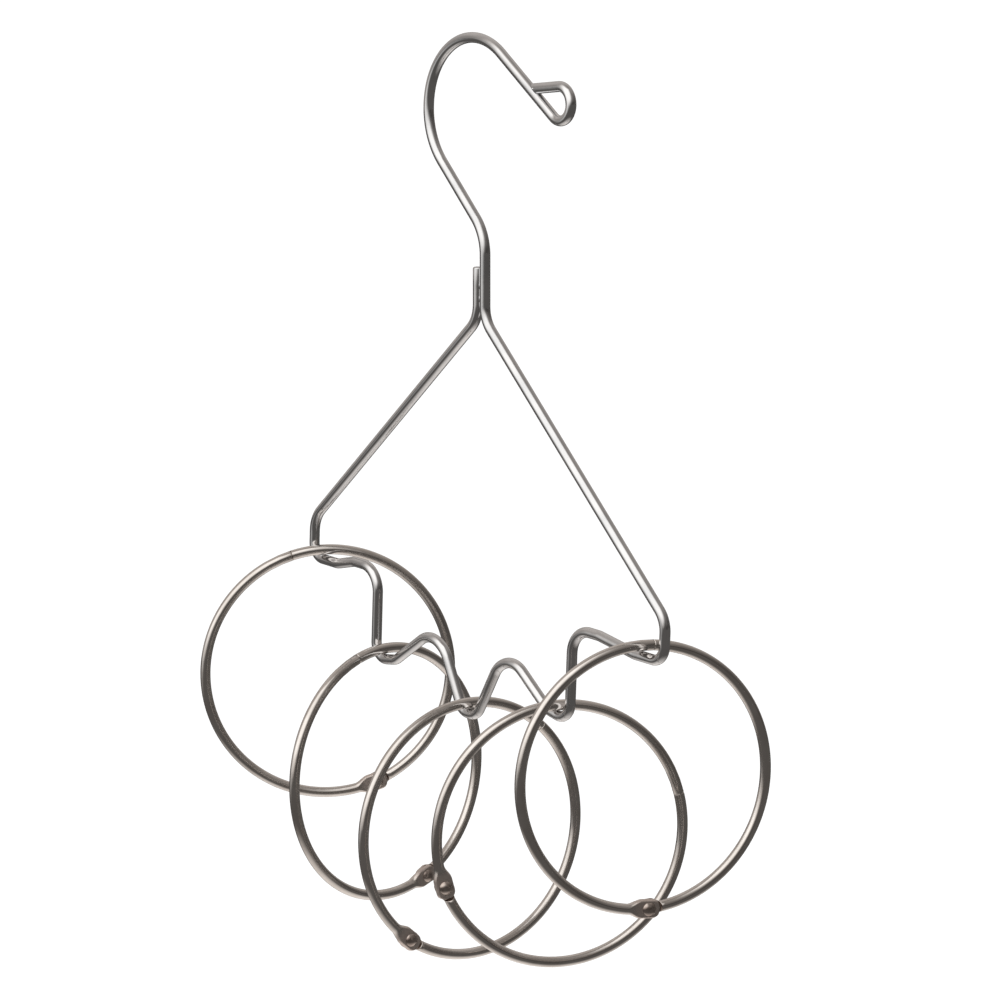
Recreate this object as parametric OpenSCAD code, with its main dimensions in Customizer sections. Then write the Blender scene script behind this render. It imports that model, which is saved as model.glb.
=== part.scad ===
// Scarf hanger: one bent wire with a hook, a neck, two arms and a zigzag foot of five valleys.
// A hinged ring hangs in each valley. Each ring is two half rings, riveted at one end and lapped at the other.
// The hanger is drawn as it hangs on a rail, with the rail's line through the origin along Y.

/* [Wire] */
// Diameter of the hanger's own wire
frame_wire_d = 3.3; // [2.8:0.1:3.6]
// Diameter of the wire that the rings are made of
ring_wire_d = 3.3; // [2.8:0.1:3.6]

/* [Hook] */
// Radius of the hook's bow, at the middle of the wire
bow_r = 22.6; // [20:0.1:25]
// How far the bow's centre lies to the left of the neck
bow_offset = 6.7; // [4:0.1:9]
// Height of the bow's centre above the point where the arms part
bow_rise = 63; // [58:0.5:70]
// Slope of the straight in front of the bow, in degrees below level
front_slope = 32.5; // [28:0.1:40]
// Length of that straight
front_len = 30.8; // [26:0.1:36]
// Radius of the closed eye at the hook's tip, at the middle of the wire
eye_r = 5.1; // [4.6:0.1:6]
// Fall of the eye's tail towards the straight that it closes against, in degrees
tail_fall = 9; // [4:1:14]

/* [Neck] */
// Length from the point where the arms part to the bend under the hook
neck_len = 26.5; // [22:0.5:30]
// Length of the cut end that is welded beside the neck
stub_len = 16; // [12:0.5:19]
// Lean of the neck to the left, in degrees
neck_lean = 2.8; // [0:0.1:4]
// Radius of the bend under the hook
neck_bend_r = 15.6; // [8:0.1:18]
// Radius of the bends where the arms part
parting_bend_r = 9.9; // [6:0.1:12]

/* [Arms] */
// Distance from the neck to the left side of the foot
left_reach = 83; // [78:0.1:86]
// Distance from the neck to the right side of the foot
right_reach = 90.8; // [87:0.1:95]
// Drop from the parting point to the shoulders
shoulder_drop = 76.5; // [72:0.5:80]
// Radius of the right shoulder's bend
shoulder_bend_r = 8.6; // [7:0.1:11]
// Radius of the left shoulder's wider bend
left_shoulder_bend_r = 10; // [7:0.1:14]

/* [Foot] */
// Drop from the parting point to the floor of the outer valleys
floor_drop = 89.4; // [88.5:0.1:93]
// Length of the outer valleys' floor
floor_run = 13; // [11:0.1:15]
// Drop from the parting point to the ledges between the outer and inner valleys
ledge_drop = 87.1; // [84:0.1:88]
// Length of each ledge
ledge_run = 12.5; // [11:0.1:14]
// Distance from the neck to the upright at each inner valley
upright_x = 48.6; // [47:0.1:51]
// Drop from the parting point to the corner of the inner valleys
inner_drop = 116.5; // [113:0.1:119]
// Length of the inner valleys' rising floor
inner_run = 10.7; // [9.8:0.1:12]
// Slope of that floor, in degrees
inner_slope = 9.9; // [6:0.1:14]
// Distance from the neck to the outer corner of each peak
peak_x = 20.8; // [19:0.1:23]
// Drop from the parting point to the outer corner of each peak
peak_drop = 102.4; // [100:0.1:104]
// Width of each peak's sloping top
peak_run = 7.6; // [7.3:0.1:8.5]
// Fall of each peak's top towards the middle
peak_fall = 4.2; // [3.8:0.1:5]
// Drop from the parting point to the floor of the middle valley
middle_drop = 124.1; // [121:0.1:128]
// Width of the middle valley's floor between its corners
middle_run = 7.2; // [6.8:0.1:8]
// Radius of the small bends of the foot
foot_bend_r = 4.9; // [4.5:0.1:5.4]
// Radius of the two bends that round each peak
peak_bend_r = 8.7; // [4.5:0.1:8.7]
// Radius of the bends at the ledges
ledge_bend_r = 7.9; // [6:0.1:9]

/* [Rings] */
// Inside diameter of a closed ring
ring_inner_d = 76.5; // [72:0.5:80]
// Distance from the left side of the foot to the ring there
left_ring_inset = 6.6; // [6.5:0.1:8]
// Distance from the right side of the foot to the ring there
right_ring_inset = 9.4; // [7:0.1:11]
// Gap between a ring and the wire that it hangs on
seat_gap = 0.15; // [0.1:0.05:0.3]
// Length of the lap where the half rings close
lap_len = 8; // [4:0.5:9]
// Gap round the lap
lap_gap = 0.12; // [0.1:0.01:0.2]

/* [Ring hinge] */
// Length of the front half's straight end, from the round wire to the rivet
ear_len = 6.6; // [6.6:0.1:8]
// Width of the flattened ear
ear_w = 5.9; // [5.4:0.1:6.2]
// How far the front ear runs on past the rivet
ear_end = 3.4; // [3:0.1:3.6]
// Length of the ramp that thins the front half's end
ramp_len = 2.8; // [2.6:0.1:3]
// Length of the steep step that thins the rear half's end, which hides behind the front ear
step_len = 0.6; // [0.5:0.1:1]
// Gap between the two ears
ear_gap = 0.1; // [0.06:0.02:0.2]
// Diameter of the rivet's shank
rivet_d = 2; // [1.6:0.1:2.4]
// Diameter of the rivet's domed heads
rivet_head_d = 4.2; // [3.6:0.1:4.4]
// Height of the rivet's domed heads
rivet_head_h = 1; // [0.7:0.05:1.1]
// Clearance of the rivet in the ears, on the radius, and under its heads
rivet_fit = 0.05; // [0.02:0.01:0.08]

/* [Pose] */
// Lean of the whole hanger on its rail, because its bow sits beside its neck
hang_lean = 3.94; // [2:0.02:6]
// Room between the first ring and the ring beside it, where the two rest closest
first_ring_clearance = 10.4; // [9:0.1:13]
// Turn of the other rings about the vertical, from square to the foot
ring_turns = [-6, 4.4, 19.2, 16.5];
// Place of each ring's rivet round the ring, in degrees from its far side
rivet_places = [292, 293.5, 233.5, 199.5, 271];

/* [Hidden] */
$fn = 48;
ring_fn = 96;

frame_wire_r = frame_wire_d / 2;
ring_wire_r = ring_wire_d / 2;
// The two legs of the neck lie side by side with this much between them, which the weld fills
leg_gap = 0.1;
leg_x = frame_wire_r + leg_gap / 2;
weld_heights = [6.5, 10.5];
weld_r = 1;
// The eye's tail is sheared off this far from the side of the hook's straight
tail_gap = 0.12;
// Depth of the slab that stands for a cutting half space
cut_reach = 2 * ring_wire_d;
// The wire thins by this much on the radius where it is bent, and each bend runs this far into its straights
bend_thinning = 0.02;
bend_overrun = 0.15;

// Points of the wire, x to the right and y up, from the point where the arms part
lean_dir = [-sin(neck_lean), cos(neck_lean)];
bow_centre = [-bow_offset, bow_rise];
part_right = [leg_x, 0];
part_left = [-leg_x, 0];
neck_corner = part_right + neck_len * lean_dir;
stub_end = part_left + stub_len * lean_dir;

// The shank leaves the bow on the tangent through the neck's corner
shank_place = heading(bow_centre, neck_corner) + 360 - acos(bow_r / norm(neck_corner - bow_centre));
shank_start = bow_centre + bow_r * unit(shank_place);
front_place = 90 - front_slope;
front_start = bow_centre + bow_r * unit(front_place);
front_end = front_start + front_len * unit(-front_slope);
eye_centre = front_end + eye_r * unit(front_place);
tail_start = eye_centre + eye_r * unit(90 + tail_fall);
// The tail's middle line meets the straight's at this distance
tail_run = eye_r / tan((tail_fall + front_slope) / 2);

inner_floor_end = [upright_x - inner_run * cos(inner_slope), -inner_drop + inner_run * sin(inner_slope)];

// Corners of one side of the foot, from the shoulder to the middle valley
function foot_side(reach) = [
    [reach, -shoulder_drop],
    [reach, -floor_drop],
    [reach - floor_run, -floor_drop],
    [upright_x + ledge_run, -ledge_drop],
    [upright_x, -ledge_drop],
    [upright_x, -inner_drop],
    inner_floor_end,
    [peak_x, -peak_drop],
    [peak_x - peak_run, -peak_drop - peak_fall],
    [middle_run / 2, -middle_drop]
];
function foot_radii(shoulder_r) = [
    shoulder_r, foot_bend_r, ledge_bend_r, ledge_bend_r, ledge_bend_r,
    foot_bend_r, foot_bend_r, peak_bend_r, peak_bend_r, foot_bend_r
];
right_side = foot_side(right_reach);
left_side = [for (p = reversed(foot_side(left_reach))) [-p.x, p.y]];
body_points = concat([shank_start, neck_corner, part_right], right_side, left_side, [part_left, stub_end]);
body_radii = concat(
    [0, neck_bend_r, parting_bend_r], foot_radii(shoulder_bend_r),
    reversed(foot_radii(left_shoulder_bend_r)), [parting_bend_r, 0]
);

// Seats of the rings on the middle line of the wire, left to right
inner_crook = foot_bend_r * tan((90 + inner_slope) / 2);
inner_seat = [upright_x - foot_bend_r, -inner_drop + inner_crook - foot_bend_r];
seats = [
    [left_ring_inset - left_reach, -floor_drop],
    [-inner_seat.x, inner_seat.y],
    [0, -middle_drop],
    inner_seat,
    [right_reach - right_ring_inset, -floor_drop]
];

ring_r = (ring_inner_d + ring_wire_d) / 2;
lap_angle = lap_len / ring_r * 180 / PI;
lap_gap_angle = lap_gap / ring_r * 180 / PI;
ear_overrun = 0.3 / ring_r * 180 / PI;
// The first ring turns until it just keeps its room to the second ring's seat
first_room = hung(seats[1]).x - hung(seats[0]).x;
first_turn = asin((first_room - first_ring_clearance) / (ring_r + ring_wire_r));
turns = concat([first_turn], ring_turns);
// Each ear lies on the chord from the end of the round wire to the rivet, which sits on the ring's own circle
function ear_angle(length) = 2 * asin(length / 2 / ring_r);
ear_r = ear_w / 2;
ear_corner_r = 2;
// How far the front ear's corners reach from the rivet as it turns, and the gap that lets them pass
ear_reach = ear_corner_r + norm([ear_end - ear_corner_r, ear_r - ear_corner_r]);
turning_gap = 0.1;
// Each ear's length to the rivet, its run past it, its ramp, and how far before the rivet it is at its widest
front_ear = [ear_len, ear_end, ramp_len, 2.2];
rear_ear = [ear_reach + turning_gap + step_len, ear_end - 0.7, step_len, 1.2];
// The ear's outer face lies a little under the wire's skin, so that the press mark shows
ear_top = ring_wire_r - 0.15;
head_curve_r = (pow(rivet_head_d / 2, 2) + pow(rivet_head_h, 2)) / (2 * rivet_head_h);
head_z = ear_top + rivet_fit;
steel = [0.76, 0.76, 0.78];
ring_steel = [0.72, 0.70, 0.69];

function unit(a) = [cos(a), sin(a)];
function heading(a, b) = atan2(b.y - a.y, b.x - a.x);
function reversed(list) = [for (i = [len(list) - 1 : -1 : 0]) list[i]];
// Angle turned through at corner i, from -180 to 180 degrees, positive to the left
function turn_at(p, i) = let (t = heading(p[i], p[i + 1]) - heading(p[i - 1], p[i])) t - 360 * round(t / 360);
// Length that the bend at corner i takes from each straight beside it
function bend_reach(p, r, i) = i == 0 || i == len(p) - 1 ? 0 : r[i] * tan(abs(turn_at(p, i)) / 2);
// A point of the hanger's own plane, as it hangs
function hung(p) = let (q = p - bow_centre, c = cos(hang_lean), s = sin(hang_lean))
    [q.x * c + q.y * s, q.y * c - q.x * s - bow_r + frame_wire_r];

// Straight round wire from a to b in the drawing plane
module wire_straight(a, b, d) {
    translate([a.x, a.y, 0])
        rotate([0, 90, heading(a, b)])
            cylinder(h = norm(b - a), d = d);
}

// Round wire bent about centre with bend radius r, from the place start through sweep degrees
module wire_bend(centre, r, start, sweep, d) {
    translate([centre.x, centre.y, 0])
        rotate([0, 0, start])
            bend_arc(r, sweep, d);
}

// The bend itself, from +X round towards +Y, with its overrun at both ends
module bend_arc(r, sweep, d) {
    overrun = bend_overrun / r * 180 / PI;
    rotate([0, 0, -overrun])
        rotate_extrude(angle = sweep + 2 * overrun)
            translate([r, 0])
                circle(r = d / 2 - bend_thinning);
}

// Round wire through the corners p, with bend radius r[i] at corner i
module wire_path(p, r, d) {
    for (i = [0 : len(p) - 2]) {
        way = unit(heading(p[i], p[i + 1]));
        wire_straight(p[i] + bend_reach(p, r, i) * way, p[i + 1] - bend_reach(p, r, i + 1) * way, d);
    }
    for (i = [1 : len(p) - 2]) {
        side = sign(turn_at(p, i));
        before = heading(p[i - 1], p[i]);
        centre = p[i] - bend_reach(p, r, i) * unit(before) + side * r[i] * unit(before + 90);
        sweep = abs(turn_at(p, i));
        wire_bend(centre, r[i], side > 0 ? before - 90 : before + 90 - sweep, sweep, d);
    }
}

// Closed eye at the hook's tip, with its tail sheared off along the straight
module hook_tip() {
    wire_straight(front_start, front_end, frame_wire_d);
    wire_bend(eye_centre, eye_r, 270 - front_slope, 180 + front_slope + tail_fall, frame_wire_d);
    difference() {
        wire_straight(tail_start, tail_start + tail_run * unit(180 + tail_fall), frame_wire_d);
        translate([front_end.x, front_end.y, 0])
            rotate([0, 0, -front_slope])
                translate([-2 * front_len, -cut_reach, -cut_reach])
                    cube([2 * front_len, cut_reach + frame_wire_r + tail_gap, 2 * cut_reach]);
    }
}

// Puts what is drawn in the hanger's plane where it hangs
module hang() {
    translate([0, 0, frame_wire_r - bow_r])
        rotate([0, hang_lean, 0])
            rotate([90, 0, 0])
                translate([-bow_centre.x, -bow_centre.y, 0])
                    children();
}

module wire_frame() {
    color(steel)
        hang() {
            hook_tip();
            wire_bend(bow_centre, bow_r, front_place, shank_place - front_place, frame_wire_d);
            wire_path(body_points, body_radii, frame_wire_d);
        }
}

// Weld spots in the grooves between the two legs of the neck, front and back
module neck_weld() {
    color(steel)
        hang()
            difference() {
                for (h = weld_heights, side = [-1, 1])
                    translate([h * lean_dir.x, h * lean_dir.y, side * 0.75])
                        sphere(r = weld_r);
                wire_straight(part_right, neck_corner, frame_wire_d);
                wire_straight(part_left, neck_corner - [2 * leg_x, 0], frame_wire_d);
            }
}

// Flattened end of a half ring along X, round at the start
module ear(sizes) {
    length = sizes[0];
    over = sizes[1];
    ramp = sizes[2];
    grow_len = length - sizes[3];
    flare = [for (i = [0 : 8])
        let (u = i / 8, grown = (1 - cos(180 * u)) / 2)
            [ring_wire_r + bend_thinning + (ear_r - ring_wire_r) * grown, grow_len * u]];
    corner = [for (i = [0 : 4])
        let (u = 22.5 * i)
            [ear_r - ear_corner_r + ear_corner_r * cos(u), length + over - ear_corner_r + ear_corner_r * sin(u)]];
    difference() {
        intersection() {
            rotate([0, 90, 0])
                rotate_extrude()
                    polygon(concat([[0, 0]], flare, corner, [[0, length + over]]));
            rotate([90, 0, 0])
                linear_extrude(height = 2 * cut_reach, center = true)
                    polygon([
                        [0, -ring_wire_r - 0.3],
                        [ramp, ear_gap / 2],
                        [length + cut_reach, ear_gap / 2],
                        [length + cut_reach, ear_top],
                        [ramp_len * 0.7, ear_top],
                        [0, ring_wire_r + 0.3]
                    ]);
        }
        translate([length, 0, -cut_reach])
            cylinder(h = 2 * cut_reach, r = rivet_d / 2 + rivet_fit);
    }
}

// One half ring, on the left of a ring whose rivet is at the bottom, its ear and lap at the front
module half_ring(sizes) {
    ear_angle = ear_angle(sizes[0]);
    neck_place = 270 - ear_angle;
    lap_place = 90 - lap_angle / 2;
    difference() {
        rotate([0, 0, lap_place])
            rotate_extrude(angle = neck_place - lap_place + ear_overrun, $fn = ring_fn)
                translate([ring_r, 0])
                    circle(r = ring_wire_r);
        rotate([0, 0, lap_place - lap_angle])
            translate([0, 0, lap_gap / 2 - cut_reach])
                rotate_extrude(angle = 2 * lap_angle + lap_gap_angle, $fn = ring_fn)
                    translate([ring_r - cut_reach, 0])
                        square([2 * cut_reach, cut_reach]);
    }
    translate([ring_r * cos(neck_place), ring_r * sin(neck_place), 0])
        rotate([0, 0, -ear_angle / 2])
            ear(sizes);
}

// Domed rivet through both ears
module rivet() {
    translate([0, -ring_r, 0]) {
        cylinder(h = 2 * head_z, r = rivet_d / 2, center = true);
        for (side = [0, 180])
            rotate([side, 0, 0])
                intersection() {
                    translate([0, 0, head_z + rivet_head_h - head_curve_r])
                        sphere(r = head_curve_r);
                    translate([0, 0, head_z])
                        cylinder(h = cut_reach, r = cut_reach);
                }
    }
}

// Puts what is drawn round a ring's centre where ring n hangs
module on_ring(n) {
    seat = hung(seats[n]);
    translate([seat.x, 0, seat.y + frame_wire_r + seat_gap + ring_wire_r - ring_r])
        rotate([0, 0, 90 - turns[n]])
            rotate([90, 0, 0])
                rotate([0, 0, rivet_places[n] - 270])
                    children();
}

// The front half covers half a turn back from the rivet, and the ring hangs by the half that holds its top
function hangs_by_front(n) = rivet_places[n] < 270;

module ring_half(n, front) {
    color(ring_steel)
        on_ring(n)
            rotate([0, front ? 0 : 180, 0])
                half_ring(front ? front_ear : rear_ear);
}

module ring_hanging_half(n) {
    ring_half(n, hangs_by_front(n));
}

module ring_opening_half(n) {
    ring_half(n, !hangs_by_front(n));
}

module ring_rivet(n) {
    color(steel)
        on_ring(n)
            rivet();
}

wire_frame();
neck_weld();
for (n = [0 : 4]) {
    ring_hanging_half(n);
    ring_opening_half(n);
    ring_rivet(n);
}
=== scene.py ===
import math
from collections import namedtuple

import bpy
from mathutils import Matrix, Vector

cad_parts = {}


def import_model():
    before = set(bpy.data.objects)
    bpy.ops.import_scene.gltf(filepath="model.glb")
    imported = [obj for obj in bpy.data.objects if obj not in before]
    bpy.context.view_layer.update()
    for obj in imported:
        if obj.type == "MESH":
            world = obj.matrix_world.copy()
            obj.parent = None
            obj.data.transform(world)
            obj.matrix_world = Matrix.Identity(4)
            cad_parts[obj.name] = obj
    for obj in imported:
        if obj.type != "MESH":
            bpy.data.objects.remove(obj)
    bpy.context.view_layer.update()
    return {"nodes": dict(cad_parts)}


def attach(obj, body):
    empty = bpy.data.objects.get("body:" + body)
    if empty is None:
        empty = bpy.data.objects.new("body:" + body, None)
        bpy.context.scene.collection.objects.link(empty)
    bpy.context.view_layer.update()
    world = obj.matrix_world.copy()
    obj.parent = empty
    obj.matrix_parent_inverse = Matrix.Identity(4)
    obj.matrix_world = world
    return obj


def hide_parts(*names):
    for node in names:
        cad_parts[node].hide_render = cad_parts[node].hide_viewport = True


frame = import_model()

MM = 0.001

# Sizes of the hanger's wire, in millimetres and degrees
WIRE_R = 1.65
BOW_R = 22.6
BOW_OFFSET = 6.7
BOW_RISE = 63
FRONT_SLOPE = 32.5
FRONT_LEN = 30.8
EYE_R = 5.1
TAIL_FALL = 9
TAIL_GAP = 0.12
NECK_LEN = 26.5
STUB_LEN = 16
NECK_LEAN = 2.8
NECK_BEND_R = 15.6
PARTING_BEND_R = 9.9
LEG_X = 1.7
LEFT_REACH = 83
RIGHT_REACH = 90.8
SHOULDER_DROP = 76.5
SHOULDER_BEND_R = 8.6
LEFT_SHOULDER_BEND_R = 10
FLOOR_DROP = 89.4
FLOOR_RUN = 13
LEDGE_DROP = 87.1
LEDGE_RUN = 12.5
LEDGE_BEND_R = 7.9
UPRIGHT_X = 48.6
INNER_DROP = 116.5
INNER_RUN = 10.7
INNER_SLOPE = 9.9
PEAK_X = 20.8
PEAK_DROP = 102.4
PEAK_RUN = 7.6
PEAK_FALL = 4.2
PEAK_BEND_R = 8.7
MIDDLE_DROP = 124.1
MIDDLE_RUN = 7.2
FOOT_BEND_R = 4.9
HANG_LEAN = 3.94

# Sizes of the weld beads: their heights on the neck, their place in the groove and their half sizes
WELD_HEIGHTS = (6.5, 10.5)
WELD_DEPTH = 0.6
WELD_HALF_SIZES = (0.5, 0.45, 1.2)

# Sizes of the rings and their hinges, in millimetres and degrees
RING_R = 39.9
LEFT_RING_INSET = 6.6
RIGHT_RING_INSET = 9.4
FIRST_RING_CLEARANCE = 10.4
RING_TURNS = [-6, 4.4, 19.2, 16.5]
RIVET_PLACES = [292, 293.5, 233.5, 199.5, 271]
SEAT_GAP = 0.15
LAP_LEN = 8
LAP_GAP = 0.12
LAP_EDGE = 0.08
EAR_HALF_W = 2.95
EAR_CORNER_R = 2
EAR_GAP = 0.1
EAR_TOP = 1.5
EAR_EDGE = 0.16
RIVET_SHANK_R = 1
RIVET_HEAD_R = 2.1
RIVET_HEAD_H = 1
RIVET_FIT = 0.05
RIVET_EDGE = 0.05
# An ear's length to its rivet, its run past it, its ramp's length, and how far before the rivet it gets to
# its full width
Ear = namedtuple("Ear", "length over ramp lead")
FRONT_EAR = Ear(length=6.6, over=3.4, ramp=2.8, lead=2.2)
REAR_EAR = Ear(length=4.392, over=2.7, ramp=0.6, lead=1.2)

# How finely the wires are drawn: points a step apart, in millimetres, and the sides of each tube
BEND_STEP = 0.28
STRAIGHT_STEP = 7.0
BOW_STEP = 0.9
EYE_STEP = 0.4
FRONT_STEPS = 6
TAIL_STEPS = 12
WIRE_SIDES = 44
RING_SIDES = 40
RIVET_SIDES = 48
MERGE_GAP = 0.002
# A cut wire's rounded end: places along its blunt length, and the share of the radius there
BLUNT_END = [(0.0, 0.72), (0.25, 0.9), (0.6, 0.975), (1.0, 1.0)]

# The finest grain of the plate in millimetres, its share of the bump, and the roughness that cloudy
# patches and hard pressing add
SPECK_MM = 0.35
SPECK_SHARE = 0.06
CLOUDY_BLUR = 0.07
PRESSED_BLUR = 0.33


# Materials

def srgb(hex_colour):
    """An sRGB hex colour as linear red, green, blue and alpha."""
    parts = [int(hex_colour[i:i + 2], 16) / 255 for i in (0, 2, 4)]
    return [c / 12.92 if c <= 0.04045 else ((c + 0.055) / 1.055) ** 2.4 for c in parts] + [1.0]


def add(tree, kind, inputs=None, **settings):
    """A node of that kind with its settings, its input values and its links."""
    node = tree.nodes.new(kind)
    for name, value in settings.items():
        setattr(node, name, value)
    for name, value in (inputs or {}).items():
        if isinstance(value, bpy.types.NodeSocket):
            tree.links.new(value, node.inputs[name])
        else:
            node.inputs[name].default_value = value
    return node


def new_material(name):
    """An empty node material and its tree."""
    material = bpy.data.materials.new(name)
    material.use_nodes = True
    material.node_tree.nodes.clear()
    return material, material.node_tree


def plated_wire(name, bright, cloudy, rough, cloud_mm, ripple_mm, ripple, pressed=None):
    """Plated drawn wire: a mirror with faint cloudy patches and the soft ripple of drawing and bending.
    Where a piece says how hard it was pressed, the plate is duller and takes the pressed colour."""
    material, tree = new_material(name)
    place = add(tree, "ShaderNodeTexCoord").outputs["Object"]
    clouds = add(tree, "ShaderNodeTexNoise", {
        "Vector": place, "Scale": 1 / (cloud_mm * MM), "Detail": 3.0}).outputs["Fac"]
    specks = add(tree, "ShaderNodeTexNoise", {
        "Vector": place, "Scale": 1 / (SPECK_MM * MM), "Detail": 2.0}).outputs["Fac"]
    waves = add(tree, "ShaderNodeTexNoise", {
        "Vector": place, "Scale": 1 / (ripple_mm * MM), "Detail": 2.0}).outputs["Fac"]
    colour = add(tree, "ShaderNodeValToRGB", {"Fac": clouds})
    ends = colour.color_ramp.elements
    ends[0].position, ends[1].position = 0.34, 0.62
    ends[0].color, ends[1].color = srgb(cloudy), srgb(bright)
    paint = colour.outputs["Color"]
    blur = add(tree, "ShaderNodeMapRange", {
        "Value": clouds, "From Min": 0.35, "From Max": 0.65,
        "To Min": rough + CLOUDY_BLUR, "To Max": rough}).outputs["Result"]
    if pressed:
        force = add(tree, "ShaderNodeAttribute", attribute_name="pressed").outputs["Fac"]
        patchy = add(tree, "ShaderNodeMapRange", {
            "Value": specks, "From Min": 0.3, "From Max": 0.7, "To Min": 0.75, "To Max": 1.0})
        scuffed = add(tree, "ShaderNodeMath", {0: force, 1: patchy.outputs["Result"]},
                      operation="MULTIPLY").outputs[0]
        # Of this node's sockets, 0 is the factor, 6 and 7 are the two colours, and 2 is the colour it gives
        tint = add(tree, "ShaderNodeMix", data_type="RGBA")
        tree.links.new(scuffed, tint.inputs[0])
        tree.links.new(paint, tint.inputs[6])
        tint.inputs[7].default_value = srgb(pressed)
        paint = tint.outputs[2]
        blur = add(tree, "ShaderNodeMath", {0: scuffed, 1: PRESSED_BLUR, 2: blur},
                   operation="MULTIPLY_ADD").outputs[0]
    height = add(tree, "ShaderNodeMath", {0: specks, 1: SPECK_SHARE, 2: waves}, operation="MULTIPLY_ADD")
    bump = add(tree, "ShaderNodeBump", {
        "Height": height.outputs[0], "Strength": 1.0, "Distance": ripple * MM})
    shader = add(tree, "ShaderNodeBsdfPrincipled", {
        "Base Color": paint, "Metallic": 1.0, "Roughness": blur, "Normal": bump.outputs["Normal"]})
    add(tree, "ShaderNodeOutputMaterial", {"Surface": shader.outputs["BSDF"]})
    return material


# Bright chrome plate on the hanger's drawn steel wire: a clear, slightly blue mirror
chrome = plated_wire(
    "bright_chrome_plate", bright="E4E4E5", cloudy="D6D7D9", rough=0.07, cloud_mm=11.0, ripple_mm=4.0,
    ripple=0.03)
# Bright nickel plate on the rings: a warmer mirror than chrome, dull and pinkish on the pressed ears
nickel = plated_wire(
    "bright_nickel_plate", bright="E8E3DF", cloudy="D8D2CD", rough=0.11, cloud_mm=9.0, ripple_mm=4.0,
    ripple=0.03, pressed="E0D4CD")
# Barrel-plated nickel on the rivets: duller than the rings, as small parts tumble in the bath
rivet_nickel = plated_wire(
    "barrel_nickel_plate", bright="CFC4BD", cloudy="B3A49C", rough=0.13, cloud_mm=1.6, ripple_mm=0.8,
    ripple=0.015)
# Weld under the plate: grey and rough, with small lumps
weld_plate = plated_wire(
    "plated_weld", bright="D6D7DA", cloudy="BDBEC2", rough=0.14, cloud_mm=0.9, ripple_mm=0.5, ripple=0.05)


# Bending plan of the wire

def unit(angle):
    """The direction at that angle in degrees."""
    return Vector((math.cos(math.radians(angle)), math.sin(math.radians(angle))))


def heading(a, b):
    """Direction from a to b in degrees."""
    return math.degrees(math.atan2(b.y - a.y, b.x - a.x))


def arc(centre, r, start, sweep, step):
    """Points round centre, a step apart, without the last one."""
    count = max(3, math.ceil(abs(math.radians(sweep)) * r / step))
    return [centre + r * unit(start + sweep * i / count) for i in range(count)]


def bent(corners, radii):
    """Middle line of a wire through the corners, rounded at each by its bend radius."""
    line = []
    at = corners[0]
    for i in range(1, len(corners) - 1):
        before = heading(corners[i - 1], corners[i])
        turn = (heading(corners[i], corners[i + 1]) - before + 180) % 360 - 180
        side = 1 if turn > 0 else -1
        reach = radii[i] * math.tan(math.radians(abs(turn)) / 2)
        bend_start = corners[i] - reach * unit(before)
        count = max(1, math.ceil((bend_start - at).length / STRAIGHT_STEP))
        line += [at.lerp(bend_start, k / count) for k in range(count)]
        centre = bend_start + side * radii[i] * unit(before + 90)
        line += arc(centre, radii[i], before - 90 * side, turn, BEND_STEP)
        at = corners[i] + reach * unit(before + turn)
    return line + [at]


BOW_CENTRE = Vector((-BOW_OFFSET, BOW_RISE))
LEAN = unit(90 + NECK_LEAN)
NECK_CORNER = Vector((LEG_X, 0)) + NECK_LEN * LEAN
INNER_CORNER = Vector((UPRIGHT_X, -INNER_DROP))
INNER_WAY = Vector((-unit(INNER_SLOPE).x, unit(INNER_SLOPE).y))


def foot_side(reach):
    """Corners of one side of the foot, from the shoulder to the middle valley."""
    return [Vector(p) for p in (
        (reach, -SHOULDER_DROP), (reach, -FLOOR_DROP), (reach - FLOOR_RUN, -FLOOR_DROP),
        (UPRIGHT_X + LEDGE_RUN, -LEDGE_DROP), (UPRIGHT_X, -LEDGE_DROP),
        INNER_CORNER, INNER_CORNER + INNER_RUN * INNER_WAY,
        (PEAK_X, -PEAK_DROP), (PEAK_X - PEAK_RUN, -PEAK_DROP - PEAK_FALL),
        (MIDDLE_RUN / 2, -MIDDLE_DROP))]


def hung(p):
    """A point of the hanger's own plane, as it hangs on its rail."""
    c, s = unit(HANG_LEAN)
    q = p - BOW_CENTRE
    return Vector((q.x * c + q.y * s, q.y * c - q.x * s - BOW_R + WIRE_R))


def upright(p):
    """A point or direction of the upright plane that the hanger hangs in, in space."""
    return Vector((p.x, 0, p.y))


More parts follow.
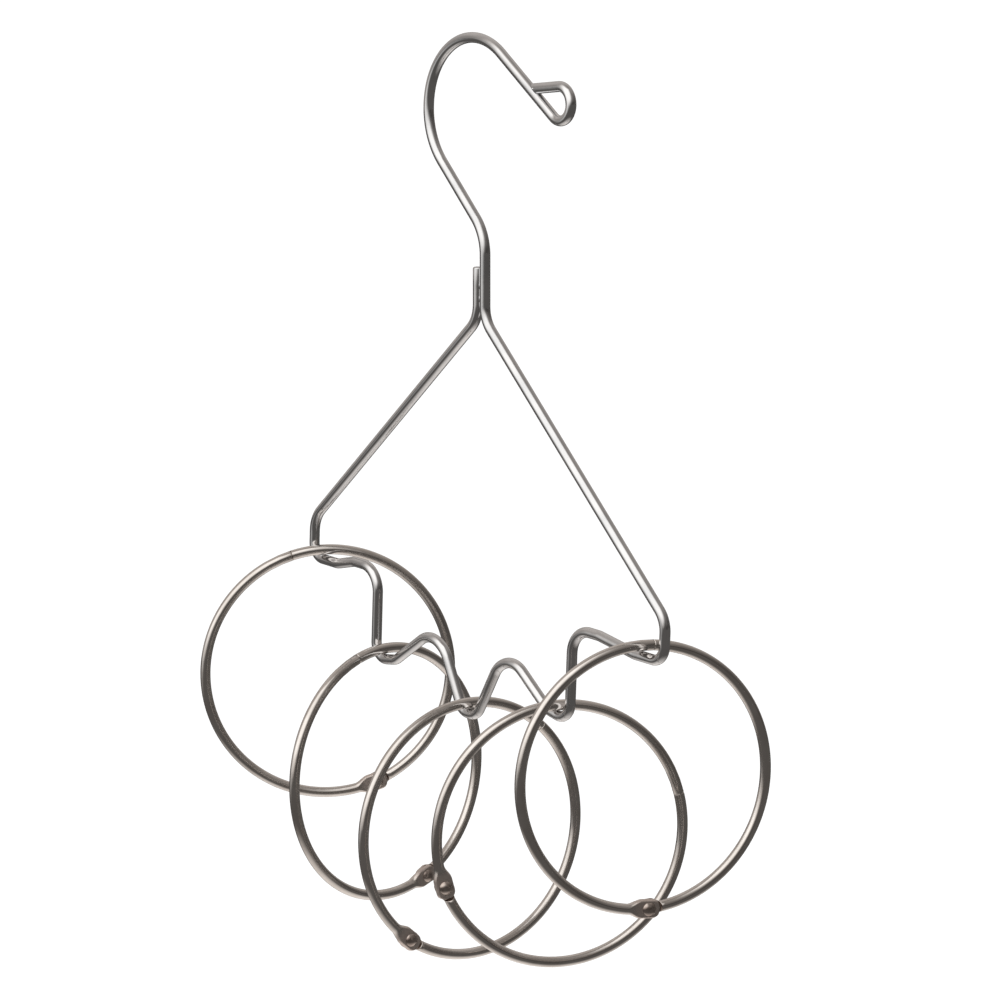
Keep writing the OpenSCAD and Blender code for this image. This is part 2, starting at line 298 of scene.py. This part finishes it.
def frame_line():
    """Middle line of the whole wire, from the welded end round the foot and the hook to the tail of the
    eye, where its tail starts, and the two ends of the straight that the tail closes against."""
    left = [Vector((-p.x, p.y)) for p in foot_side(LEFT_REACH)]
    right = foot_side(RIGHT_REACH)
    foot_radii = [FOOT_BEND_R] + 3 * [LEDGE_BEND_R] + 2 * [FOOT_BEND_R] + 2 * [PEAK_BEND_R] + [FOOT_BEND_R]
    to_neck = NECK_CORNER - BOW_CENTRE
    neck_turn = math.degrees(math.acos(BOW_R / to_neck.length))
    shank_place = heading(BOW_CENTRE, NECK_CORNER) + 360 - neck_turn
    front_place = 90 - FRONT_SLOPE
    corners = [Vector((-LEG_X, 0)) + STUB_LEN * LEAN, Vector((-LEG_X, 0))] + left + right[::-1]
    corners += [Vector((LEG_X, 0)), NECK_CORNER, BOW_CENTRE + BOW_R * unit(shank_place)]
    radii = [0, PARTING_BEND_R, LEFT_SHOULDER_BEND_R] + foot_radii + foot_radii[::-1]
    radii += [SHOULDER_BEND_R, PARTING_BEND_R, NECK_BEND_R, 0]
    line = bent(corners, radii)[:-1]
    line += arc(BOW_CENTRE, BOW_R, shank_place, front_place - shank_place, BOW_STEP)
    front_start = BOW_CENTRE + BOW_R * unit(front_place)
    front_end = front_start + FRONT_LEN * unit(-FRONT_SLOPE)
    line += [front_start.lerp(front_end, k / FRONT_STEPS) for k in range(FRONT_STEPS)]
    eye_centre = front_end + EYE_R * unit(front_place)
    line += arc(eye_centre, EYE_R, 270 - FRONT_SLOPE, 180 + FRONT_SLOPE + TAIL_FALL, EYE_STEP)
    tail_start = eye_centre + EYE_R * unit(90 + TAIL_FALL)
    # The tail's end is sheared later along the straight, so it runs a little into it here
    to_straight = EYE_R / math.tan(math.radians(TAIL_FALL + FRONT_SLOPE) / 2)
    line += [tail_start + unit(180 + TAIL_FALL) * to_straight * k / TAIL_STEPS for k in range(TAIL_STEPS)]
    in_space = [upright(hung(p)) * MM for p in line]
    return in_space, hung(tail_start), hung(front_start), hung(front_end)


# Shaping

def fresh():
    """Deselects everything, in object mode."""
    if bpy.context.object and bpy.context.object.mode != "OBJECT":
        bpy.ops.object.mode_set(mode="OBJECT")
    bpy.ops.object.select_all(action="DESELECT")


def named(obj, name, material, body):
    """Names a finished piece, gives it its material and slot, and makes it ride on its body."""
    obj.name = obj.data.name = name
    obj.data.materials.clear()
    obj.data.materials.append(material)
    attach(obj, body)
    return obj


def copied(pattern, place):
    """A copy of a pattern with a mesh of its own, moved to its place."""
    piece = bpy.data.objects.new("piece", pattern.data.copy())
    bpy.context.scene.collection.objects.link(piece)
    piece.data.transform(place)
    return piece


def close_up(sharp):
    """Merges the active mesh's doubles, turns its faces outwards, and shades it smooth, apart from edges
    sharper than that angle in degrees."""
    bpy.ops.object.mode_set(mode="EDIT")
    bpy.ops.mesh.select_all(action="SELECT")
    bpy.ops.mesh.remove_doubles(threshold=MERGE_GAP * MM)
    bpy.ops.mesh.normals_make_consistent(inside=False)
    bpy.ops.object.mode_set(mode="OBJECT")
    bpy.ops.object.shade_smooth_by_angle(angle=math.radians(sharp))


def drawn_wire(line, r, sides, blunt):
    """Round wire along the middle line, as a mesh, its two ends rounded over by blunt."""
    fresh()
    bpy.ops.curve.primitive_bezier_curve_add()
    obj = bpy.context.object
    data = obj.data
    data.splines.clear()
    spline = data.splines.new("POLY")
    first, last = (line[1] - line[0]).normalized(), (line[-1] - line[-2]).normalized()
    # Points closer to an end than the blunt length would fold the tube back on itself
    middle = [p for p in line if min((p - line[0]).length, (p - line[-1]).length) > 1.05 * blunt]
    stations = [(line[0] + first * blunt * t, thin) for t, thin in BLUNT_END]
    stations += [(p, 1.0) for p in middle]
    stations += [(line[-1] - last * blunt * t, thin) for t, thin in reversed(BLUNT_END)]
    spline.points.add(len(stations) - 1)
    for point, (place, thin) in zip(spline.points, stations):
        point.co = (*place, 1.0)
        point.radius = thin
    data.dimensions = "3D"
    data.twist_mode = "MINIMUM"
    data.bevel_depth = r
    data.bevel_resolution = (sides - 4) // 2
    data.use_fill_caps = True
    obj.matrix_world = Matrix.Identity(4)
    bpy.ops.object.convert(target="MESH")
    close_up(50)
    return bpy.context.object


def turned(profile, sides):
    """Solid of revolution on the Z axis, drawn up from a disc through the radii and heights of its
    profile."""
    fresh()
    r, z = profile[0]
    bpy.ops.mesh.primitive_circle_add(vertices=sides, radius=r, fill_type="NGON", location=(0, 0, z))
    bpy.ops.object.transform_apply(location=True, rotation=True, scale=True)
    bpy.ops.object.mode_set(mode="EDIT")
    bpy.ops.mesh.select_all(action="SELECT")
    for new_r, new_z in profile[1:]:
        bpy.ops.mesh.extrude_region_move(TRANSFORM_OT_translate={"value": (0, 0, new_z - z)})
        bpy.ops.transform.resize(value=(new_r / r, new_r / r, 1), center_override=(0, 0, new_z))
        r, z = new_r, new_z
    close_up(40)
    return bpy.context.object


def eased(value, low, high, edge):
    """Value kept between low and high, rounded off over an edge length at both."""
    def under(a, limit):
        h = min(max(0.5 + (limit - a) / (2 * edge), 0.0), 1.0)
        return a * h + limit * (1 - h) - edge * h * (1 - h)
    return -under(-under(value, high), -low)


def smooth(t):
    """Rises from 0 to 1 as t goes from 0 to 1, level at both ends."""
    t = min(max(t, 0.0), 1.0)
    return (1 - math.cos(math.pi * t)) / 2


# The hanger's wire

def off_axis(p, start, way):
    """Distance of a point from the line through start."""
    return (p - start - way * (p - start).dot(way)).length


def shear_tail(obj, tail_start, start, end):
    """Cuts the tail off flat along the side of the straight that it closes against."""
    tail_start, start, end = (upright(p) for p in (tail_start, start, end))
    way = (end - start).normalized()
    away = Vector((-way.z, 0, way.x))
    tail = upright(unit(180 + TAIL_FALL - HANG_LEAN))
    for vertex in obj.data.vertices:
        p = vertex.co / MM
        over = WIRE_R + TAIL_GAP - (p - start).dot(away)
        along = (p - tail_start).dot(tail)
        in_tail = 0 < along < 3 * EYE_R and off_axis(p, tail_start, tail) < 1.01 * WIRE_R
        in_straight = abs(off_axis(p, start, way) - WIRE_R) < MERGE_GAP
        if in_tail and not in_straight and over > 0:
            vertex.co = (p + tail * over / tail.dot(away)) * MM


wire_line, eye_tail, straight_start, straight_end = frame_line()
wire = drawn_wire(wire_line, WIRE_R * MM, WIRE_SIDES, blunt=0.5 * MM)
shear_tail(wire, eye_tail, straight_start, straight_end)
named(wire, "bent_wire", chrome, "hanger")
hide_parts("wire_frame")


def weld_bead(height, side):
    """Small bead of weld at the bottom of the groove between the neck's two wires."""
    fresh()
    bpy.ops.mesh.primitive_uv_sphere_add(segments=24, ring_count=16, radius=1)
    obj = bpy.context.object
    at = hung(height * LEAN)
    up = at - hung(0 * LEAN)
    place = Matrix.Translation(Vector((at.x, side * WELD_DEPTH, at.y)) * MM)
    place = place @ Matrix.Rotation(math.atan2(up.x, up.y), 4, "Y")
    place = place @ Matrix.Diagonal([half_size * MM for half_size in WELD_HALF_SIZES] + [1])
    obj.data.transform(place)
    bpy.ops.object.shade_smooth()
    return obj


beads = [weld_bead(height, side) for height in WELD_HEIGHTS for side in (-1, 1)]
fresh()
for bead in beads:
    bead.select_set(True)
bpy.context.view_layer.objects.active = beads[0]
bpy.ops.object.join()
named(beads[0], "neck_weld_beads", weld_plate, "hanger")
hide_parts("neck_weld")


# Rings

# Places on a ring whose laps are at its top: where a half's lapped end is, and where the step is
LAP_START = 90 - math.degrees(LAP_LEN / RING_R) / 2
LAP_STEP = 90 + math.degrees((LAP_LEN / 2 + LAP_GAP) / RING_R)


def half_line(ear):
    """Middle line of a half ring whose rivet is at the bottom, from its lapped end to its ear's end, where
    its ear starts, and which way the ear points."""
    ear_place = 270 - 2 * math.degrees(math.asin(ear.length / 2 / RING_R))
    # Close together at the lap's step, then a degree and a half apart
    places = [LAP_START, (LAP_START + LAP_STEP) / 2, LAP_STEP - 0.35]
    places += [LAP_STEP - 0.2 + 0.05 * k for k in range(8)]
    past_step = LAP_STEP + 0.6
    count = math.ceil((ear_place - LAP_STEP) / 1.5)
    places += [past_step + (ear_place - past_step) * k / count for k in range(count + 1)]
    line = [RING_R * unit(a) for a in places]
    start = line[-1]
    way = (Vector((0, -RING_R)) - start).normalized()
    # Close together on a short ramp and round the ear's end
    end = ear.length + ear.over
    steps = [0.1 * k for k in range(1, 12)] if ear.ramp < 1 else []
    steps += [0.2 * k for k in range(1, 100)]
    steps = sorted({round(t, 3) for t in steps if t < end - EAR_CORNER_R})
    steps += [end - EAR_CORNER_R * (1 - math.sin(math.radians(7.5 * k))) for k in range(12)] + [end]
    line += [start + way * t for t in steps]
    return [Vector((p.x, p.y, 0)) * MM for p in line], start, way


def pressed_to(ear, along, side, height):
    """Where pressing takes a point of the round wire, that far along its ear: its new side and height."""
    grown = smooth(along / (ear.length - ear.lead))
    width = WIRE_R + (EAR_HALF_W - WIRE_R) * grown
    round_end = ear.length + ear.over - EAR_CORNER_R
    if along > round_end:
        short = min((along - round_end) / EAR_CORNER_R, 1.0)
        width = EAR_HALF_W - EAR_CORNER_R + EAR_CORNER_R * math.sqrt(max(1 - short ** 2, 0.01))
    # A pressed edge stays fuller than a stretched circle
    bulge = side / WIRE_R
    full = math.copysign(abs(bulge) ** (1 - 0.25 * grown), bulge)
    # The face towards the other ear rises to the middle over the ramp, and the outer one sinks a little
    low = -WIRE_R + (WIRE_R + EAR_GAP / 2) * min(along / ear.ramp, 1.0)
    high = WIRE_R + (EAR_TOP - WIRE_R) * smooth(along / (0.7 * FRONT_EAR.ramp))
    return width * full, eased(height * (1 + 0.5 * grown), low, high, EAR_EDGE)


def half_ring(ear):
    """One half ring: round wire, pressed to an ear round the rivet and stepped at the lap."""
    line, start, way = half_line(ear)
    obj = drawn_wire(line, WIRE_R * MM, RING_SIDES, blunt=0.3 * MM)
    pressed = obj.data.attributes.new("pressed", "FLOAT", "POINT")
    across = Vector((-way.y, way.x))
    for i, vertex in enumerate(obj.data.vertices):
        p = vertex.co / MM
        flat = Vector((p.x, p.y))
        place = math.degrees(math.atan2(p.y, p.x)) % 360
        along = (flat - start).dot(way)
        if p.y > 0:
            # The lap leaves the front half of the wire
            if place < LAP_STEP:
                p.z = eased(p.z, LAP_GAP / 2, WIRE_R, LAP_EDGE)
        elif along > 0:
            side, p.z = pressed_to(ear, along, (flat - start).dot(across), p.z)
            p.x, p.y = start + way * along + across * side
            pressed.data[i].value = smooth(along / (0.8 * (ear.length - ear.lead)))
        vertex.co = p * MM
    return obj


def ring_seats():
    """Points of the hanging wire where the rings sit, left to right."""
    crook = FOOT_BEND_R * math.tan(math.radians((90 + INNER_SLOPE) / 2))
    inner = (UPRIGHT_X - FOOT_BEND_R, -INNER_DROP + crook - FOOT_BEND_R)
    flat = [(LEFT_RING_INSET - LEFT_REACH, -FLOOR_DROP), (-inner[0], inner[1]), (0, -MIDDLE_DROP), inner,
            (RIGHT_REACH - RIGHT_RING_INSET, -FLOOR_DROP)]
    return [hung(Vector(p)) for p in flat]


SEATS = ring_seats()
FIRST_TURN = math.degrees(math.asin(
    (SEATS[1].x - SEATS[0].x - FIRST_RING_CLEARANCE) / (RING_R + WIRE_R)))


def ring_place(n, turned_over):
    """Matrix that takes a piece drawn round a ring's centre to where ring n hangs."""
    turn = ([FIRST_TURN] + RING_TURNS)[n]
    centre = upright(SEATS[n]) + Vector((0, 0, 2 * WIRE_R + SEAT_GAP - RING_R))
    place = Matrix.Translation(centre * MM)
    place = place @ Matrix.Rotation(math.radians(90 - turn), 4, "Z")
    place = place @ Matrix.Rotation(math.radians(90), 4, "X")
    place = place @ Matrix.Rotation(math.radians(RIVET_PLACES[n] - 270), 4, "Z")
    if turned_over:
        place = place @ Matrix.Rotation(math.pi, 4, "Y")
    return place


def rivet_profile():
    """Radii and heights of the rivet from its lower head to its upper one, both domed, with small
    flats."""
    seat_z = EAR_TOP + RIVET_FIT
    dome_r = (RIVET_HEAD_R ** 2 + RIVET_HEAD_H ** 2) / (2 * RIVET_HEAD_H)
    dome_z = seat_z + RIVET_HEAD_H - dome_r - 0.02
    upper = [(RIVET_SHANK_R, seat_z), (RIVET_HEAD_R - 0.07, seat_z), (RIVET_HEAD_R, seat_z + RIVET_EDGE)]
    for k in range(13):
        r = (RIVET_HEAD_R - 0.03) * math.cos(math.radians(7 * k))
        upper += [(max(r, 0.12), dome_z + math.sqrt(dome_r ** 2 - r ** 2))]
    lower = [(r, -z) for r, z in reversed(upper)]
    return [(r * MM, z * MM) for r, z in lower + upper]


front_half = half_ring(FRONT_EAR)
rear_half = half_ring(REAR_EAR)
rivet = turned(rivet_profile(), RIVET_SIDES)
rivet.data.transform(Matrix.Translation((0, -RING_R * MM, 0)))

for n in range(5):
    hangs_by_front = RIVET_PLACES[n] < 270
    ring = f"ring_{n + 1}"
    for pattern, side in ((front_half, "front"), (rear_half, "rear")):
        hangs = (side == "front") == hangs_by_front
        piece = copied(pattern, ring_place(n, turned_over=side == "rear"))
        named(piece, f"{ring}_{side}_wire", nickel, ring if hangs else f"{ring}_gate")
        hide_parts(f"{ring}_{'hanging' if hangs else 'opening'}_half")
    piece = copied(rivet, ring_place(n, turned_over=False))
    named(piece, f"{ring}_domed_rivet", rivet_nickel, ring)
    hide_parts(f"{ring}_rivet")
for pattern in (front_half, rear_half, rivet):
    bpy.data.objects.remove(pattern)

for name, node in frame["nodes"].items():
    node.data.materials.clear()
    node.data.materials.append(weld_plate if name == "neck_weld" else chrome)


# Camera

# The photograph's camera: its focal length and optical centre in pixels of a square frame, its tilts in
# radians, and where it sees the hanger's origin, to its right, ahead of it and up
FRAME_PX = 1000
SENSOR_MM = 36.0
FOCAL_PX = 4512.67
CENTRE_PX = (500.3, 497.85)
TILT_DOWN = 0.14237
ROLL = -0.01212
YAW = 0.89805
ORIGIN_SEEN = Vector((-6.524, 1376.283, -57.592)) * MM


def camera():
    """Camera whose picture fits the photograph."""
    data = bpy.data.cameras.new("photo_camera")
    data.sensor_width = SENSOR_MM
    data.lens = SENSOR_MM * FOCAL_PX / FRAME_PX
    data.clip_start = 0.05
    data.clip_end = 40.0
    data.shift_x = (FRAME_PX / 2 - CENTRE_PX[0]) / FRAME_PX
    data.shift_y = (CENTRE_PX[1] - FRAME_PX / 2) / FRAME_PX
    obj = bpy.data.objects.new("photo_camera", data)
    bpy.context.scene.collection.objects.link(obj)
    # Columns are the camera's right, up and back in its own level frame
    right = Vector((1, 0, 0))
    up = Vector((0, math.sin(TILT_DOWN), math.cos(TILT_DOWN)))
    back = Vector((0, -math.cos(TILT_DOWN), math.sin(TILT_DOWN)))
    turn = Matrix((right, up, back)).transposed()
    turn = turn @ Matrix.Rotation(ROLL, 3, "Z")
    to_row = Matrix.Rotation(YAW, 3, "Z")
    obj.matrix_world = Matrix.Translation(to_row @ (-ORIGIN_SEEN)) @ (to_row @ turn).to_4x4()
    bpy.context.scene.camera = obj


camera()


# Studio, in metres and degrees

MIDDLE = Vector((0, 0, -0.14))
UP = Vector((0, 0, 1))
FLOOR_Z = -0.52
ROOM_R = 9
TABLE_R = 8.9
CLOTH_AWAY = 0.95
# The softbox's middle: its azimuth, its height over the hanger's middle and its distance
BOX_PLACE = (-44, 0.52, 0.78)
# Azimuth and elevation of the cloth's corners, seen from the hanger's middle
CLOTH_LOW = Vector((-120, -38)), Vector((42, 15))
CLOTH_HIGH = Vector((-92, 70)), Vector((50, 78))
# Where the cloth starts to show at each edge, and where it is full: across it, then up it
CLOTH_FADES = (("X", 0.0, 0.24), ("X", 1.0, 0.55), ("Y", 0.0, 0.46), ("Y", 1.0, 0.9))


def round_middle(azimuth, height, distance):
    """A point round the hanger: azimuth 0 is towards the camera, 90 to the picture's right."""
    a = math.radians(azimuth)
    away = Matrix.Rotation(YAW, 3, "Z") @ Vector((math.sin(a), -math.cos(a), 0))
    return MIDDLE + away * distance + UP * height


def lamp(name, place, size, radiance):
    """Soft area lamp that faces the hanger and lights the floor round its shadow. The metal mirrors the
    cloth instead of it."""
    data = bpy.data.lights.new(name, "AREA")
    data.shape = "RECTANGLE"
    data.size, data.size_y = size
    data.energy = radiance * math.pi * size[0] * size[1]
    obj = bpy.data.objects.new(name, data)
    obj.location = place
    obj.rotation_euler = (MIDDLE - place).to_track_quat("-Z", "Y").to_euler()
    obj.visible_camera = False
    obj.visible_glossy = False
    bpy.context.scene.collection.objects.link(obj)


def only_mirrored(obj, material):
    """Gives a studio piece its material, and keeps it out of every ray but those that metal mirrors."""
    obj.data.materials.append(material)
    obj.visible_camera = False
    obj.visible_diffuse = False
    obj.visible_shadow = False
    obj.visible_transmission = False


def dark_room():
    """The dim room as the metal mirrors it, its walls glowing with painted light: lighter round the
    softbox, behind the hanger and overhead.
    """
    fresh()
    bpy.ops.mesh.primitive_uv_sphere_add(segments=48, ring_count=24, radius=ROOM_R)
    obj = bpy.context.object
    obj.name = "dark_room"
    bpy.ops.object.mode_set(mode="EDIT")
    bpy.ops.mesh.select_all(action="SELECT")
    bpy.ops.mesh.flip_normals()
    bpy.ops.mesh.bisect(plane_co=(0, 0, FLOOR_Z + 0.003), plane_no=(0, 0, 1), clear_inner=True)
    bpy.ops.object.mode_set(mode="OBJECT")
    material, tree = new_material("room_walls_painted_light")
    place = add(tree, "ShaderNodeTexCoord").outputs["Object"]
    way = add(tree, "ShaderNodeVectorMath", {0: place}, operation="NORMALIZE").outputs[0]
    box_way = (round_middle(-42, 0.60, 0.78) - MIDDLE).normalized()
    back_way = (round_middle(-160, 0.1, 1) - MIDDLE).normalized()
    level = 0.0
    # Each painted glow's direction, the cosines at its rim and where it is full, and its strength
    for toward, rim, full, gain in (
            (box_way, 0.65, 0.95, 0.5), (back_way, 0.0, 0.9, 0.3), (UP, 0.1, 0.9, 0.21)):
        facing = add(tree, "ShaderNodeVectorMath", {0: way, 1: toward}, operation="DOT_PRODUCT")
        rise = add(tree, "ShaderNodeMapRange", {
            "Value": facing.outputs["Value"], "From Min": rim, "From Max": full,
            "To Min": 0.0, "To Max": gain}, interpolation_type="SMOOTHSTEP").outputs["Result"]
        level = add(tree, "ShaderNodeMath", {0: rise, 1: level}, operation="ADD").outputs[0]
    patches = add(tree, "ShaderNodeTexNoise", {"Vector": way, "Scale": 2.2, "Detail": 1.0})
    wall = add(tree, "ShaderNodeMapRange", {
        "Value": patches.outputs["Fac"], "From Min": 0.35, "From Max": 0.65,
        "To Min": 0.045, "To Max": 0.13}).outputs["Result"]
    level = add(tree, "ShaderNodeMath", {0: wall, 1: level}, operation="ADD").outputs[0]
    glow = add(tree, "ShaderNodeEmission", {"Color": srgb("FFF6EF"), "Strength": level})
    add(tree, "ShaderNodeOutputMaterial", {"Surface": glow.outputs[0]})
    only_mirrored(obj, material)


def table():
    """The table as the metal mirrors it: a pale sheet, glowing with a painted pool of light under and
    behind the hanger that fades darker towards the camera."""
    fresh()
    bpy.ops.mesh.primitive_circle_add(vertices=64, radius=TABLE_R, fill_type="NGON",
                                      location=(0, 0, FLOOR_Z + 0.004))
    bpy.ops.object.transform_apply(location=True, rotation=True, scale=True)
    obj = bpy.context.object
    obj.name = "table"
    material, tree = new_material("table_paper_painted_light_pool")
    place = add(tree, "ShaderNodeTexCoord").outputs["Object"]
    centre = round_middle(-168, 0, 0.15)
    centre.z = FLOOR_Z
    gap = add(tree, "ShaderNodeVectorMath", {0: place, 1: centre}, operation="DISTANCE")
    # Painted pool of light: the glow is brightest round a point under and behind the hanger and fades
    # darker towards the camera
    painted_light_pool = add(tree, "ShaderNodeMapRange", {
        "Value": gap.outputs["Value"], "From Min": 0.05, "From Max": 0.5, "To Min": 0.87, "To Max": 0.1},
        interpolation_type="SMOOTHSTEP").outputs["Result"]
    glow = add(tree, "ShaderNodeEmission", {"Color": srgb("FFF8F2"), "Strength": painted_light_pool})
    add(tree, "ShaderNodeOutputMaterial", {"Surface": glow.outputs[0]})
    only_mirrored(obj, material)


def cloth_point(azimuth, elevation):
    """Point of the softbox's cloth in the given direction from the hanger's middle."""
    rise = math.radians(elevation)
    level = round_middle(azimuth, 0, 1) - MIDDLE
    return MIDDLE + CLOTH_AWAY * (math.cos(rise) * level + math.sin(rise) * UP)


def softbox_cloth():
    """The softbox as the metal mirrors it: bright cloth, slanted down to the left, that fades at its
    edges."""
    fresh()
    bpy.ops.mesh.primitive_grid_add(x_subdivisions=20, y_subdivisions=20, size=1)
    obj = bpy.context.object
    obj.name = "softbox_cloth"
    for vertex in obj.data.vertices:
        u, v = vertex.co.x + 0.5, vertex.co.y + 0.5
        low, high = CLOTH_LOW[0].lerp(CLOTH_LOW[1], u), CLOTH_HIGH[0].lerp(CLOTH_HIGH[1], u)
        vertex.co = cloth_point(*low.lerp(high, v))
    material, tree = new_material("softbox_cloth")
    place = add(tree, "ShaderNodeSeparateXYZ", {0: add(tree, "ShaderNodeTexCoord").outputs["UV"]})
    shown = 1.0
    for axis, edge, full in CLOTH_FADES:
        fade = add(tree, "ShaderNodeMapRange", {
            "Value": place.outputs[axis], "From Min": edge, "From Max": full,
            "To Min": 0.0, "To Max": 1.0}, interpolation_type="SMOOTHSTEP").outputs["Result"]
        shown = add(tree, "ShaderNodeMath", {0: fade, 1: shown}, operation="MULTIPLY").outputs[0]
    glow = add(tree, "ShaderNodeEmission", {"Color": srgb("FFFDFA"), "Strength": 1.3})
    clear = add(tree, "ShaderNodeBsdfTransparent")
    cloth = add(tree, "ShaderNodeMixShader", {0: shown, 1: clear.outputs[0], 2: glow.outputs[0]})
    add(tree, "ShaderNodeOutputMaterial", {"Surface": cloth.outputs[0]})
    only_mirrored(obj, material)


def floor():
    """Pale floor that the camera sees white, with the hanger's shadow on it."""
    fresh()
    bpy.ops.mesh.primitive_plane_add(size=60, location=(0, 0, FLOOR_Z))
    obj = bpy.context.object
    obj.name = "floor"
    material, tree = new_material("pale_floor_paint")
    rays = add(tree, "ShaderNodeLightPath").outputs
    viewed = add(tree, "ShaderNodeMath", {0: rays["Is Camera Ray"], 1: rays["Is Glossy Ray"]},
                 operation="MAXIMUM").outputs[0]
    lift = add(tree, "ShaderNodeMath", {0: viewed, 1: 0.45}, operation="MULTIPLY").outputs[0]
    paint = add(tree, "ShaderNodeBsdfDiffuse", {"Color": srgb("F2F2F2")})
    glow = add(tree, "ShaderNodeEmission", {"Color": srgb("FFFFFF"), "Strength": lift})
    both = add(tree, "ShaderNodeAddShader", {0: paint.outputs[0], 1: glow.outputs[0]})
    add(tree, "ShaderNodeOutputMaterial", {"Surface": both.outputs[0]})
    obj.data.materials.append(material)


def world():
    """White surroundings, at full strength where they are seen and softer where they light the
    hanger."""
    data = bpy.data.worlds.new("studio")
    data.use_nodes = True
    tree = data.node_tree
    tree.nodes.clear()
    rays = add(tree, "ShaderNodeLightPath").outputs
    viewed = add(tree, "ShaderNodeMath", {0: rays["Is Camera Ray"], 1: rays["Is Glossy Ray"]},
                 operation="MAXIMUM").outputs[0]
    viewed = add(tree, "ShaderNodeMath", {0: viewed, 1: rays["Is Transmission Ray"]},
                 operation="MAXIMUM").outputs[0]
    light = add(tree, "ShaderNodeBackground", {"Color": srgb("FFFFFF"), "Strength": 0.7})
    white = add(tree, "ShaderNodeBackground", {"Color": srgb("FFFFFF"), "Strength": 1.0})
    mixed = add(tree, "ShaderNodeMixShader", {0: viewed, 1: light.outputs[0], 2: white.outputs[0]})
    add(tree, "ShaderNodeOutputWorld", {"Surface": mixed.outputs[0]})
    bpy.context.scene.world = data


world()
floor()
dark_room()
table()
softbox_cloth()
lamp("softbox", round_middle(*BOX_PLACE), size=(1.30, 1.05), radiance=1.3)

bpy.context.scene.view_settings.view_transform = "Standard"
